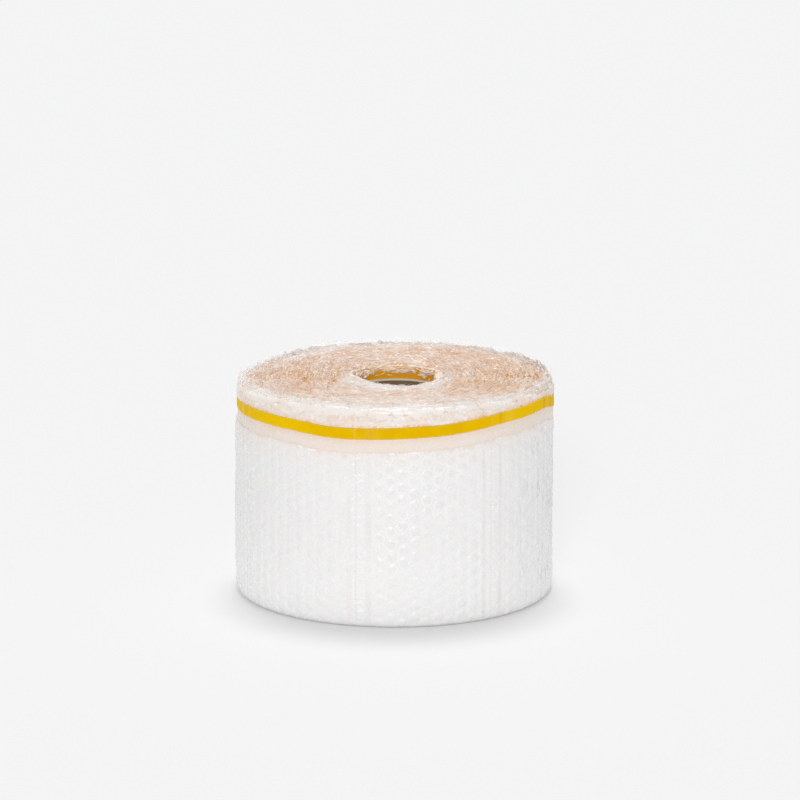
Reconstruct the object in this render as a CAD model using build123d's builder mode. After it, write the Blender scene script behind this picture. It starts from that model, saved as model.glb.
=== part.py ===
from build123d import *
import os
from math import cos, degrees, floor, pi, radians, sin

# A roll of bubble bags standing on its end, in millimetres.
# The origin is on the axis of the core, level with the surface that the roll stands on.
# +Z is up. The front of the roll faces -Y. Azimuths are counted from the front towards +X.

# Wound web of bags
web_width = 200.0  # height of the standing roll
roll_radius = 144.0  # mean radius of the outermost turn
bag_thickness = 7.2  # two plies of bubble film, wound under light tension
turn_gap = 1.2  # air between one turn and the next
lip_radius = 10.0  # top of the outermost turn, where the loose flaps draw in
lip_flat_count = 2  # narrow flats that the rounding of the lip is made of
gather_spacing = 24.0  # from one fold to the next, where the loose flap draws in over the lip
gather_width = 16.0  # across a fold, level with the top of the roll
gather_drop = 3.8  # from the top of the roll down to the start of a fold, inside the flap
gather_fall_share = 0.6  # how steeply a fold runs down and out over the lip
gather_depth_shares = (1.0, 0.65, 0.85, 0.6, 0.95, 0.75, 0.55)  # depths of the folds, one after another
base_radius = 8.0  # folded bottoms of the outermost bags
base_flat_count = 2
throat_edge = 2.0  # top edge of the innermost turn
tail_azimuth = -166.0  # where the outermost turn ends, on a perforated line at the back

# Bags along the web
bag_pitch = 127.0  # from one perforated line to the next
front_ply = 0.8  # how far the front ply of the outermost bags stands out from their flaps
flap_length = 39.0  # single ply above the mouths, up to the top of the roll
seal_width = 5.5
seal_depth = 0.6
seal_before = 7.0  # from a perforated line back to the seal of the bag before it
seal_after = 11.3  # from a perforated line on to the seal of the next bag
tail_thickness = 1.0  # both plies pressed flat in the seal at the cut end
tail_length = 20.0  # over which the last bag thins to its cut end

# Closure strip on the flaps
strip_width = 10.0
strip_thickness = 0.3
strip_clearance = 0.1
strip_above_mouth = 12.0  # from the mouths of the outermost bags to the strip on their flaps
wave_height = 7.4  # how far the outermost flap rides up at the right of the front
wave_shares = (
    (-90.0, 0.0),
    (-62.0, 0.12),
    (-45.0, 0.18),
    (-26.0, -0.12),
    (0.0, 0.0),
    (26.0, 0.4),
    (45.0, 0.88),
    (60.0, 1.0),
    (74.0, 0.72),
    (90.0, 0.0),
)  # azimuth in degrees, and the rise of mouth and strip there as a share of wave_height

# Cardboard core
core_bore_radius = 38.0
core_wall = 3.5
core_clearance = 0.1  # between the core and the first turn wound on it
core_below_strip = 0.8  # the core ends just under the strip that shows in the throat
throat_clearance = 0.4  # how far the strip in the throat stands back from the core's bore

# What cutting bodies run past the faces that they cut
overrun = 5.0

inner_strip_high = web_width - throat_edge
inner_strip_low = inner_strip_high - strip_width
inner_strip_radius = core_bore_radius + throat_clearance + strip_thickness
core_radius = core_bore_radius + core_wall
core_length = inner_strip_low - core_below_strip
web_bore_radius = core_radius + core_clearance
throat_height = core_length + core_clearance
throat_radius = inner_strip_radius + strip_clearance  # the first turn closes in above the core
mouth_height = web_width - flap_length  # upper edge of the front ply, where the bags open
turn_pitch = bag_thickness + turn_gap
flap_radius = roll_radius + turn_pitch / 2  # at the tail, where the outermost turn stands out most
bag_radius = flap_radius + front_ply
outer_radius = bag_radius + overrun
step_height = mouth_height + wave_height + overrun
slot_radius = bag_radius - turn_pitch
slot_half_turns = floor((slot_radius - bag_thickness - web_bore_radius) / (turn_pitch / 2))
strip_low = mouth_height + strip_above_mouth
strip_high = strip_low + strip_width
bags_round_roll = floor(2 * pi * roll_radius / bag_pitch)
gathers_on_half = floor(pi * roll_radius / gather_spacing)
gather_reach = bag_thickness - front_ply + turn_gap / 2  # inwards to the air inside the outermost turn
gather_opening = gather_drop + lip_radius


def place_at(azimuth, radius):
    """Place in plan at this azimuth and distance from the axis."""
    return (radius * sin(radians(azimuth)), -radius * cos(radians(azimuth)))


# The turns are half circles about two centres, a half pitch apart on the line through the tail.
# In the tail plane X runs out to the tail, and the web winds inwards from there towards +Y.
tail_x, tail_y = place_at(tail_azimuth, 1)
tail_plane = Plane(origin=(0, 0, 0), x_dir=(tail_x, tail_y, 0), z_dir=(0, 0, 1))
section_plane = Plane(origin=(0, 0, 0), x_dir=(tail_x, tail_y, 0), z_dir=(tail_y, -tail_x, 0))
centre_shift = turn_pitch / 4


def half_turns(start_radius, count):
    """Half circles of a spiral that starts at the tail and winds inwards."""
    for index in range(count):
        centre = -centre_shift if index % 2 else centre_shift
        radius = start_radius - centre_shift - index * turn_pitch / 2
        CenterArc((centre, 0), radius, 180 * (index % 2), 180)


def tail_cut(rise):
    """Plan of what is missing outside the thinned end of the web."""
    with BuildSketch() as cut:
        with BuildLine():
            Polyline(
                (flap_radius - bag_thickness + tail_thickness + rise, 0),
                (flap_radius + rise, tail_length),
                (outer_radius + overrun, tail_length),
                (outer_radius + overrun, 0),
                close=True,
            )
        make_face()
    return cut.sketch


def roll_plan(rise):
    """Plan of the whole roll, with its outline this far out from the flap of the outermost turn."""
    start_radius = flap_radius + rise
    with BuildSketch() as plan:
        with BuildLine():
            half_turns(start_radius, 2)
            Line((start_radius - turn_pitch, 0), (start_radius, 0))
        make_face()
        add(tail_cut(rise), mode=Mode.SUBTRACT)
    return plan.sketch


def rounding(centre, radius, start_angle, flat_count):
    """Points on a quarter circle in the section of the roll, one more than its flats."""
    points = []
    for index in range(flat_count + 1):
        angle = radians(start_angle + 90 * index / flat_count)
        points.append((centre[0] + radius * cos(angle), centre[1] + radius * sin(angle)))
    return points


def wave_points(height):
    """Points in front view along a line round the roll that rides up with the flap."""
    points = []
    for azimuth, share in wave_shares:
        points.append((roll_radius * sin(radians(azimuth)), height + share * wave_height))
    return points


def front_band(low, high):
    """Front view of a band between two heights, both of which ride up with the flap."""
    low_points = wave_points(low)
    high_points = wave_points(high)
    with BuildSketch() as band:
        with BuildLine():
            Spline(*low_points)
            Spline(*high_points)
            for low_point, high_point in (
                (low_points[0], high_points[0]),
                (low_points[-1], high_points[-1]),
            ):
                side = outer_radius if low_point[0] > 0 else -outer_radius
                Polyline(low_point, (side, low_point[1]), (side, high_point[1]), high_point)
        make_face()
    return band.sketch


def back_band(low, high):
    """The same band behind the roll, where it runs level."""
    with BuildSketch() as band:
        with Locations((0, (low + high) / 2)):
            Rectangle(2 * outer_radius, high - low)
    return band.sketch


# What is missing in front of the flap, above the mouths of the outermost bags
with BuildPart() as mouth_front:
    with BuildSketch(Plane.XZ):
        add(front_band(mouth_height, web_width + overrun))
    extrude(amount=outer_radius)
    with BuildSketch(Plane.XZ):
        add(back_band(mouth_height, web_width + overrun))
    extrude(amount=-outer_radius)
    with BuildSketch(tail_plane):
        add(roll_plan(0))
    extrude(amount=web_width + wave_height + overrun, mode=Mode.SUBTRACT)

# Grooves of the side seals, which press both plies of each bag together
with BuildPart() as side_seals:
    with BuildSketch():
        for bag in range(bags_round_roll + 1):
            for shift in (-seal_before, seal_after):
                seal_azimuth = tail_azimuth + degrees((bag * bag_pitch + shift) / roll_radius)
                if shift > 0 or bag > 0:
                    with Locations(Location((*place_at(seal_azimuth, roll_radius), 0), seal_azimuth)):
                        Rectangle(seal_width, 4 * turn_pitch)
        add(tail_plane.location * roll_plan(front_ply - seal_depth), mode=Mode.SUBTRACT)
    extrude(amount=step_height)

# Air between the turns, from the tail inwards
with BuildPart() as turn_slot:
    with BuildSketch(tail_plane):
        with BuildLine():
            half_turns(slot_radius, slot_half_turns)
            half_turns(slot_radius + turn_gap, slot_half_turns)
            Line((slot_radius, 0), (slot_radius + turn_gap, 0))
            end_side = -1 if slot_half_turns % 2 else 1
            end_radius = end_side * (slot_radius - slot_half_turns * turn_pitch / 2)
            Line((end_radius, 0), (end_radius + end_side * turn_gap, 0))
        make_face()
    extrude(amount=web_width)

# One fold of the loose flap, a wedge that runs down and out from the inner side of the flap
with BuildPart() as gather:
    with BuildSketch(Plane(origin=(-gather_reach, 0, -gather_drop), x_dir=(0, 1, 0), z_dir=(1, 0, 0))):
        with BuildLine():
            open_side = gather_width / 2 * gather_opening / gather_drop
            Polyline((0, 0), (open_side, gather_opening), (-open_side, gather_opening), close=True)
        make_face()
    extrude(amount=gather_reach + lip_radius, dir=(1, 0, -gather_fall_share))

# Wound web of bags, one solid from its tail to the first turn on the core
with BuildPart() as bubble_web:
    gather_places = []
    for side in (1, -1):
        axis_place = side * centre_shift
        edge = axis_place + bag_radius - (2 - side) * centre_shift
        flap_edge = edge - front_ply
        lip_centre = (flap_edge - lip_radius, web_width - lip_radius)
        with BuildSketch(section_plane):
            with BuildLine():
                Polyline(
                    (axis_place, 0),
                    *rounding((edge - base_radius, base_radius), base_radius, -90, base_flat_count),
                    (edge, step_height),
                    (flap_edge, step_height),
                    *rounding(lip_centre, lip_radius, 0, lip_flat_count),
                    (axis_place, web_width),
                    close=True,
                )
            make_face()
        turn_axis = Axis(tail_plane.from_local_coords((axis_place, 0, 0)), (0, 0, side))
        revolve(axis=turn_axis, revolution_arc=180)
        for index in range(gathers_on_half):
            depth_share = gather_depth_shares[index % len(gather_depth_shares)]
            turned = 90 * (1 - side) + 180 * (index + 1) / (gathers_on_half + 1)
            middle = Location((axis_place, 0, 0), turned)
            lip_edge = Location((flap_edge - axis_place, 0, web_width + (1 - depth_share) * gather_drop))
            gather_places.append(tail_plane.location * middle * lip_edge)

    add(mouth_front.part, mode=Mode.SUBTRACT)
    with BuildSketch(tail_plane):
        add(tail_cut(front_ply))
    extrude(amount=web_width, mode=Mode.SUBTRACT)
    add(side_seals.part, mode=Mode.SUBTRACT)
    add(turn_slot.part, mode=Mode.SUBTRACT)
    with Locations(*gather_places):
        add(gather.part, mode=Mode.SUBTRACT)
    with BuildSketch():
        Circle(web_bore_radius)
    extrude(amount=throat_height, mode=Mode.SUBTRACT)
    with BuildSketch(Plane.XY.offset(throat_height)):
        Circle(throat_radius)
    extrude(amount=web_width - throat_height, mode=Mode.SUBTRACT)
    throat_rim = bubble_web.edges().filter_by(GeomType.CIRCLE).group_by(Axis.Z)[-1].sort_by(SortBy.RADIUS)[0]
    chamfer(throat_rim, length=throat_edge)
bubble_web.part.label = "bubble_web"

# Closure strip, where it lies open on the outermost turn and in the throat
with BuildPart() as closure_strip:
    with BuildSketch(Plane.XZ):
        add(front_band(strip_low, strip_high))
    extrude(amount=outer_radius)
    with BuildSketch(Plane.XZ):
        add(back_band(strip_low, strip_high))
    extrude(amount=-outer_radius)
    with BuildSketch(tail_plane):
        add(roll_plan(strip_clearance + strip_thickness))
        add(roll_plan(strip_clearance), mode=Mode.SUBTRACT)
    extrude(amount=web_width, mode=Mode.INTERSECT)
    with BuildSketch(Plane.XY.offset(inner_strip_low)):
        Circle(inner_strip_radius)
        Circle(inner_strip_radius - strip_thickness, mode=Mode.SUBTRACT)
    extrude(amount=strip_width)
closure_strip.part.label = "closure_strip"

# Cardboard core
with BuildPart() as cardboard_core:
    with BuildSketch():
        Circle(core_radius)
        Circle(core_bore_radius, mode=Mode.SUBTRACT)
    extrude(amount=core_length)
cardboard_core.part.label = "cardboard_core"

os.makedirs("parts", exist_ok=True)
for piece in (bubble_web, closure_strip, cardboard_core):
    export_step(piece.part, f"parts/{piece.part.label}.step")
    print(piece.part.label, round(piece.part.volume), "mm3", len(piece.solids()), "solids")
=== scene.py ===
from math import pi, radians

import bpy
import numpy as np
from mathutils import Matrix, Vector


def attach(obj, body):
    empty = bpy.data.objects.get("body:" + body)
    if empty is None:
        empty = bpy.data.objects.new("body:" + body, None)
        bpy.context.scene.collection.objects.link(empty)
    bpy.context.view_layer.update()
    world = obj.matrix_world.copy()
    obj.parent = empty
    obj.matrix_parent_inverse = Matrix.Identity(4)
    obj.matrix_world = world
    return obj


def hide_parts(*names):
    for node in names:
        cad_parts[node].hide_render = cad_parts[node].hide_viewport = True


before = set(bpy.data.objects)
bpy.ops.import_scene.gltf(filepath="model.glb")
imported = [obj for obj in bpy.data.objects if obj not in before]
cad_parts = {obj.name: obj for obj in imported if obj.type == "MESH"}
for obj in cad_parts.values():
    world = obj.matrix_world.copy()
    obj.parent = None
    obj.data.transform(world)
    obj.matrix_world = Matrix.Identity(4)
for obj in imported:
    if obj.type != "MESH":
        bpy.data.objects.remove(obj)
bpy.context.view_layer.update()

# A roll of bubble bags on its end. Lengths are in millimetres up to the making of a mesh.
# Azimuths are in degrees from the front of the roll towards +X, and heights are above the floor.
MILLIMETRE = 0.001

# The same sizes as in the solids
ROLL_RADIUS = 144.0
TURN_PITCH = 8.4
TAIL_AZIMUTH = -166.0
FLAP_START = 148.2  # radius of the flap at the tail
FRONT_PLY = 0.8
BAG_START = FLAP_START + FRONT_PLY
BAG_PITCH = 127.0
SEAL_BEFORE = 7.0
SEAL_AFTER = 11.3
SEAL_WIDTH = 5.5
MOUTH_HEIGHT = 161.0
STRIP_LOW = 173.0
STRIP_WIDTH = 10.0
WAVE_HEIGHT = 7.4
WAVE_SHARES = (
    (-90, 0), (-62, 0.12), (-45, 0.18), (-26, -0.12), (0, 0),
    (26, 0.4), (45, 0.88), (60, 1), (74, 0.72), (90, 0),
)
TAIL_LENGTH = 20.0
TAIL_DROP = 6.2
BASE_RADIUS = 8.0
CORE_TOP = 187.2
THROAT_RADIUS = 38.8

FLOOR_GAP = 0.05  # keeps film off the floor's own plane
BAG_UNDER = 1.6  # how far in a bag's cut edge turns and the flap's second ply lies

# Bubbles
COLUMN_STEP = 10.7
ROW_STEP = 11.3
COLUMN_ANGLE = COLUMN_STEP / ROLL_RADIUS * 180 / pi
COLUMN_START = -1.76
ROW_START = 9.8
BUBBLE_RADIUS = 4.8
BUBBLE_RIM = 4.75  # where the pale ring of a bubble lies
NO_BUBBLE = 7.0  # a distance outside every bubble
PERFORATION_STEP = 2.6


# Noise and shapes

def hashed(a, b, seed):
    """A steady random number from -1 to 1 for each pair of whole numbers, by a common mix of their bits."""
    n = a.astype(np.uint64) * np.uint64(374761393) + b.astype(np.uint64) * np.uint64(668265263)
    n = (n + np.uint64(seed * 974634777 + 12345)) & np.uint64(0xFFFFFFFF)
    n = ((n ^ (n >> np.uint64(13))) * np.uint64(1274126177)) & np.uint64(0xFFFFFFFF)
    n = ((n ^ (n >> np.uint64(15))) * np.uint64(2246822519)) & np.uint64(0xFFFFFFFF)
    n = n ^ (n >> np.uint64(16))
    return (n & np.uint64(0xFFFF)).astype(float) / 32767.5 - 1


def noise(u, v, seed):
    """Smooth noise from about -1 to 1, one wave to a unit of u or v."""
    u, v = np.broadcast_arrays(np.asarray(u, float), np.asarray(v, float))
    iu, iv = np.floor(u), np.floor(v)
    fu, fv = u - iu, v - iv
    fu, fv = fu * fu * (3 - 2 * fu), fv * fv * (3 - 2 * fv)
    a, b = iu.astype(np.int64) + 100000, iv.astype(np.int64) + 100000
    low = hashed(a, b, seed) * (1 - fu) + hashed(a + 1, b, seed) * fu
    high = hashed(a, b + 1, seed) * (1 - fu) + hashed(a + 1, b + 1, seed) * fu
    return low * (1 - fv) + high * fv


def layered(u, v, seed, layers=3, gain=0.5):
    """Noise with finer and weaker noise over it."""
    total, weight, scale = 0, 1.0, 1.0
    for layer in range(layers):
        total = total + weight * noise(u * scale, v * scale, seed + 31 * layer)
        weight, scale = weight * gain, scale * 2.1
    return total


def creased(u, v, seed, layers=2):
    """Noise with sharp ridges, as crumpled film has. From about -1 to 1."""
    total, weight, scale = 0, 1.0, 1.0
    for layer in range(layers):
        wu = u * scale + 0.6 * noise(u * scale * 0.7, v * scale * 0.7, seed + 5 + layer)
        wv = v * scale + 0.6 * noise(u * scale * 0.7, v * scale * 0.7, seed + 9 + layer)
        total = total + weight * (1 - 2.6 * np.abs(noise(wu, wv, seed + 17 * layer)))
        weight, scale = weight * 0.5, scale * 1.9
    return total


def ragged(s, broad, fine, seed, row=0.5):
    """Unevenness along a line, from broad and fine waves. For each the height and the length are given."""
    return broad[0] * noise(s / broad[1], row, seed) + fine[0] * noise(s / fine[1], row, seed + 1)


def step(low, high, x):
    """Runs smoothly from 0 at low to 1 at high, which may be the smaller of the two."""
    t = np.clip((x - low) / (high - low), 0, 1)
    return t * t * (3 - 2 * t)


def hill(x, middle, width):
    """A smooth bump of height 1 about the middle."""
    return np.exp(-((x - middle) / width) ** 2)


def facing(azimuth):
    """1 at the front of the roll, 0 at its back."""
    return 0.5 + 0.5 * np.cos(np.radians(azimuth))


def spiral(start, turned):
    """Distance from the axis of the two-centre spiral that starts at this radius at the tail."""
    turned = np.asarray(turned, float)
    half_turn = np.floor(turned / 180)
    side = np.where(half_turn % 2 == 0, 1, -1)
    offset = TURN_PITCH / 4
    radius = start - offset - half_turn * TURN_PITCH / 2
    angle = np.radians(turned)
    return side * offset * np.cos(angle) + np.sqrt(radius**2 - (offset * np.sin(angle)) ** 2)


def cubic(xs, ys, x):
    """A natural cubic through the points, level beyond them."""
    xs, ys = np.asarray(xs, float), np.asarray(ys, float)
    h = np.diff(xs)
    n = len(xs)
    system, right = np.eye(n), np.zeros(n)
    for i in range(1, n - 1):
        system[i, i - 1:i + 2] = h[i - 1], 2 * (h[i - 1] + h[i]), h[i]
        right[i] = 6 * ((ys[i + 1] - ys[i]) / h[i] - (ys[i] - ys[i - 1]) / h[i - 1])
    m = np.linalg.solve(system, right)
    x = np.clip(x, xs[0], xs[-1])
    i = np.clip(np.searchsorted(xs, x) - 1, 0, n - 2)
    a, b = (xs[i + 1] - x) / h[i], (x - xs[i]) / h[i]
    return a * ys[i] + b * ys[i + 1] + ((a**3 - a) * m[i] + (b**3 - b) * m[i + 1]) * h[i] ** 2 / 6


def signed(azimuth):
    """The same azimuth between -180 and 180."""
    return (azimuth + 180) % 360 - 180


def once_round(steps):
    """Azimuths of even steps round the roll from the tail, with the last where the first is."""
    return TAIL_AZIMUTH + 360 * np.arange(steps + 1) / steps


def wave(azimuth):
    """How far the flap rides up at this azimuth."""
    turned = signed(np.asarray(azimuth, float))
    xs = [ROLL_RADIUS * np.sin(radians(a)) for a, share in WAVE_SHARES]
    rise = cubic(xs, [share * WAVE_HEIGHT for a, share in WAVE_SHARES],
                 ROLL_RADIUS * np.sin(np.radians(turned)))
    return np.where(np.abs(turned) < 90, rise, 0)


def along(azimuth):
    """Length along the web from the front, at the mean radius."""
    return np.radians(azimuth) * ROLL_RADIUS


def placed(azimuth, radius, height):
    """Points in plan and height from azimuth, distance from the axis and height."""
    azimuth, radius, height = np.broadcast_arrays(azimuth, radius, height)
    a = np.radians(azimuth)
    return np.stack([radius * np.sin(a), -radius * np.cos(a), height], -1)


def bag_lines(azimuth):
    """Distance along the web from the nearest perforated line, positive after it."""
    s = (azimuth - TAIL_AZIMUTH) / 180 * pi * ROLL_RADIUS
    return (s + BAG_PITCH / 2) % BAG_PITCH - BAG_PITCH / 2


def bubbles(azimuth, height):
    """Distance and direction from the middle of the nearest bubble, and two random numbers of that bubble."""
    column = np.round((azimuth - COLUMN_START) / COLUMN_ANGLE)
    best = np.full(azimuth.shape, 99.0)
    turn, first, second = (np.zeros(azimuth.shape) for _ in range(3))
    for shift in (-1, 0, 1):
        c = column + shift
        lift = np.where(c % 2 == 0, 0, ROW_STEP / 2)
        row = np.round((height - ROW_START - lift) / ROW_STEP)
        dx = (azimuth - COLUMN_START - c * COLUMN_ANGLE) / 180 * pi * ROLL_RADIUS
        dz = height - ROW_START - lift - row * ROW_STEP
        distance = np.hypot(dx, dz)
        nearer = distance < best
        best = np.where(nearer, distance, best)
        turn = np.where(nearer, np.arctan2(dz, dx), turn)
        ci, ri = c.astype(np.int64) + 5000, row.astype(np.int64) + 5000
        first = np.where(nearer, hashed(ci, ri, 3), first)
        second = np.where(nearer, hashed(ci, ri, 4), second)
    return best, turn, first, second


# Meshes

UV_MARGIN = 0.03  # between the sheets of a map, as a share of a band


def added(name, data):
    """A new object in the scene."""
    made = bpy.data.objects.new(name, data)
    bpy.context.scene.collection.objects.link(made)
    return made


def make_piece(name, grids, material, slot="film", replaces="bubble_web", **fields):
    """One mesh from a grid of points or a list of grids, which may be stacks. Seen from outside, a grid's
    first axis runs to the right and its second up. The material reads the fields, each of which is the same
    for all grids or a list with one for each."""
    grids = grids if isinstance(grids, list) else [grids]
    points, faces, maps = [], [], []
    grids = [grid.reshape(-1, *grid.shape[-3:]) for grid in grids]
    bands = sum(len(grid) * (grid.shape[2] - 1) for grid in grids)
    total, used = 0, 0
    for grid in grids:
        sheets, nu, nv = grid.shape[:3]
        index = total + np.arange(sheets * nu * nv).reshape(sheets, nu, nv)
        quads = np.stack([index[:, :-1, :-1], index[:, 1:, :-1], index[:, 1:, 1:], index[:, :-1, 1:]], -1)
        faces.append(quads.reshape(-1, 4))
        sheet, iu, iv = np.meshgrid(np.arange(sheets), np.arange(nu), np.arange(nv), indexing="ij")
        low = used + sheet * (nv - 1) + UV_MARGIN
        across = low + iv * (nv - 1 - 2 * UV_MARGIN) / (nv - 1)
        maps.append(np.stack([iu / (nu - 1), across / bands], -1).reshape(-1, 2))
        points.append(grid.reshape(-1, 3))
        total += sheets * nu * nv
        used += sheets * (nv - 1)
    points, faces, maps = np.concatenate(points), np.concatenate(faces), np.concatenate(maps)
    mesh = bpy.data.meshes.new(name)
    mesh.from_pydata(points * MILLIMETRE, [], faces)
    mesh.shade_smooth()
    layer = mesh.uv_layers.new(name="OFBake")
    layer.data.foreach_set("uv", maps[faces.ravel()].astype(np.float32).ravel())
    for key, values in fields.items():
        values = values if isinstance(values, list) else [values] * len(grids)
        data = [np.broadcast_to(value, grid.shape[:-1]).ravel() for value, grid in zip(values, grids)]
        attribute = mesh.attributes.new(key, "FLOAT", "POINT")
        attribute.data.foreach_set("value", np.concatenate(data).astype(np.float32))
    mesh.materials.append(material)
    piece = added(name, mesh)
    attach(piece, "root")
    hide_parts(replaces)


# Materials

class Nodes:
    """A node tree that is written one node at a time."""

    def __init__(self, tree):
        self.tree = tree
        self.tree.nodes.clear()

    def feed(self, socket, value):
        """Links the socket to another or sets its value, to which a colour's full alpha is added here."""
        if isinstance(value, bpy.types.NodeSocket):
            self.tree.links.new(value, socket)
        else:
            socket.default_value = (*value, 1) if socket.type == "RGBA" else value

    def node(self, kind, inputs=(), **settings):
        made = self.tree.nodes.new("ShaderNode" + kind)
        for key, value in settings.items():
            setattr(made, key, value)
        for key, value in dict(inputs).items():
            self.feed(made.inputs[key], value)
        return made

    def maths(self, operation, a, b=0.0, c=0.0):
        return self.node("Math", {0: a, 1: b, 2: c}, operation=operation).outputs[0]

    def times(self, a, b):
        return self.maths("MULTIPLY", a, b)

    def away(self, value, middle):
        """How far the value is from the middle."""
        return self.maths("ABSOLUTE", self.maths("SUBTRACT", value, middle))

    def ramp(self, value, low, high, start=0.0, end=1.0):
        return self.node("MapRange", {"Value": value, "From Min": low, "From Max": high, "To Min": start,
                                      "To Max": end}, interpolation_type="SMOOTHSTEP").outputs[0]

    def coats(self, colour, *coats):
        """A colour with others over it. Each coat is its share, from 0 to 1, and its colour."""
        for share, other in coats:
            colour = self.node("Mix", {0: share, 6: colour, 7: other}, data_type="RGBA").outputs[2]
        return colour

    def seen(self):
        """1 for rays from the camera and for those that a glossy or clear surface sends on, else 0."""
        ray = self.node("LightPath").outputs
        either = self.maths("MAXIMUM", ray["Is Glossy Ray"], ray["Is Transmission Ray"])
        return self.maths("MAXIMUM", ray["Is Camera Ray"], either)


class Shading(Nodes):
    """A material with one surface, whose nodes are written one at a time."""

    def __init__(self, name):
        self.material = bpy.data.materials.new(name)
        self.material.use_nodes = True
        super().__init__(self.material.node_tree)
        self.surface = self.node("BsdfPrincipled")
        self.output = self.node("OutputMaterial", {"Surface": self.surface.outputs[0]})

    def fields(self, *names):
        return (self.node("Attribute", attribute_name=name).outputs["Fac"] for name in names)

    def where(self):
        return self.node("TexCoord").outputs["Object"]

    def cloud(self, scale, detail=3.0, roughness=0.55, stretch=(1, 1, 1), **inputs):
        place = self.node("Mapping", {"Vector": self.where(), "Scale": stretch}).outputs[0]
        return self.node("TexNoise", {"Vector": place, "Scale": scale, "Detail": detail,
                                      "Roughness": roughness, **inputs}).outputs["Fac"]

    def bump(self, height, distance, strength):
        return self.node("Bump", {"Height": height, "Distance": distance, "Strength": strength}).outputs[0]

    def set(self, **inputs):
        for key, value in inputs.items():
            self.feed(self.surface.inputs[key.replace("_", " ")], value)

    def film(self, colour, cloud, rough, relief, strength, gloss=0.5, **more):
        """Sets the surface of a film, whose roughness and relief follow a fine cloud."""
        self.set(Base_Color=colour, Roughness=self.ramp(cloud, 0.3, 0.7, *rough),
                 Normal=self.bump(cloud, relief, strength), Specular_IOR_Level=gloss, **more)
        return self.material


def bubble_film():
    """Two plies of clear bubble film: pale rings, dark wrinkle lines inside them that are painted shade, and
    dull seals. Painted glints, painted light low down and painted shade at the sides lie over it.
    """
    s = Shading("bubble_film")
    ring, clear, seal, shade, warm = s.fields("ring", "clear", "seal", "shade", "warm")
    fine, broad, squiggle = s.cloud(420.0, 4.0), s.cloud(60.0), s.cloud(230.0, 2.0, Distortion=1.4)
    bent = s.maths("ADD", ring, s.maths("SUBTRACT", fine, 0.5))
    line = s.ramp(s.away(bent, BUBBLE_RIM), 0.1, 0.6, 1.0, 0.0)
    stroke = s.ramp(s.away(squiggle, 0.5), 0.0, 0.05, 1.0, 0.0)
    wrinkle_shade = s.times(s.ramp(bent, 2.4, 3.6, 1.0, 0.0), s.times(clear, stroke))
    height = s.node("SeparateXYZ", {0: s.where()}).outputs[2]
    colour = s.coats(
        (0.872, 0.862, 0.856),
        (s.ramp(broad, 0.35, 0.7), (0.892, 0.882, 0.876)),
        # Painted light: the film is paler below about 90 mm, where the floor shades it.
        (s.ramp(height, 0.09, 0.01, 0.0, 0.75), (0.95, 0.942, 0.936)),
        (warm, (0.872, 0.765, 0.69)),
        # Painted shade: dark lines in the wrinkles inside the bubbles.
        (s.times(wrinkle_shade, 0.5), (0.72, 0.71, 0.705)),
        (s.times(line, clear), (0.97, 0.965, 0.96)),
        # Painted glints: pale spots where the fine cloud is high.
        (s.ramp(fine, 0.56, 0.75), (0.95, 0.945, 0.94)),
        (s.times(seal, 0.42), (0.815, 0.79, 0.775)),
        # Perforation dots, which are real, and painted shade at the sides.
        (shade, (0.70, 0.695, 0.69)),
    )
    return s.film(colour, fine, (0.14, 0.36), 0.0006, 0.5)


def flap_film():
    """A single ply, tinted where yellow strips lie behind it and whitened where it is crumpled."""
    s = Shading("flap_film")
    tint, crumple, glow = s.fields("tint", "crumple", "glow")
    fine, streak = s.cloud(380.0, 4.0), s.cloud(150.0, stretch=(1, 1, 0.25))
    pale = s.times(s.ramp(fine, 0.52, 0.72), s.maths("MULTIPLY_ADD", crumple, 0.85, 0.15))
    colour = s.coats(
        (0.90, 0.875, 0.86),
        (tint, (0.83, 0.60, 0.42)),
        (pale, (0.95, 0.935, 0.93)),
        (s.times(crumple, s.ramp(streak, 0.58, 0.75)), (0.84, 0.80, 0.80)),
        (s.times(glow, s.ramp(fine, 0.62, 0.45)), (0.86, 0.50, 0.16)),
    )
    return s.film(colour, fine, (0.16, 0.4), 0.0007, 0.5, gloss=0.4)


def edge_film(name, alpha, peach):
    """A free edge of a ply, half transparent, with a painted highlight along its brim."""
    s = Shading(name)
    tint, rise = s.fields("tint", "rise")
    fine = s.cloud(500.0)
    colour = s.coats((0.94, 0.92, 0.905), (tint, peach),
                     # Painted highlight along the brim of the free edge.
                     (s.times(s.ramp(rise, 0.7, 1.0), 0.8), (0.97, 0.955, 0.95)),
                     (s.ramp(fine, 0.56, 0.7), (0.97, 0.96, 0.95)))
    return s.film(colour, fine, (0.1, 0.3), 0.0008, 0.6, Alpha=alpha)


def wound_film():
    """The wound plies under their free edges, deeper in colour between the turns: partly the strips under the
    film, partly painted shade in the grooves.
    """
    s = Shading("wound_film")
    tint, depth = s.fields("tint", "depth")
    fine = s.cloud(330.0, 4.0)
    colour = s.coats((0.93, 0.91, 0.895), (tint, (0.79, 0.535, 0.345)), (depth, (0.85, 0.50, 0.24)),
                     # Painted highlights: pale spots where the fine cloud is high.
                     (s.ramp(fine, 0.58, 0.78, 0.0, 0.7), (0.93, 0.87, 0.82)))
    return s.film(colour, fine, (0.12, 0.35), 0.0008, 0.4)


def strand_film(name, colour, alpha=0.6):
    """Film seen on edge or in a small curl, too small for a pattern of its own."""
    s = Shading(name)
    s.set(Base_Color=colour, Roughness=0.25, Specular_IOR_Level=0.5, Alpha=alpha)
    return s.material


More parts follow.
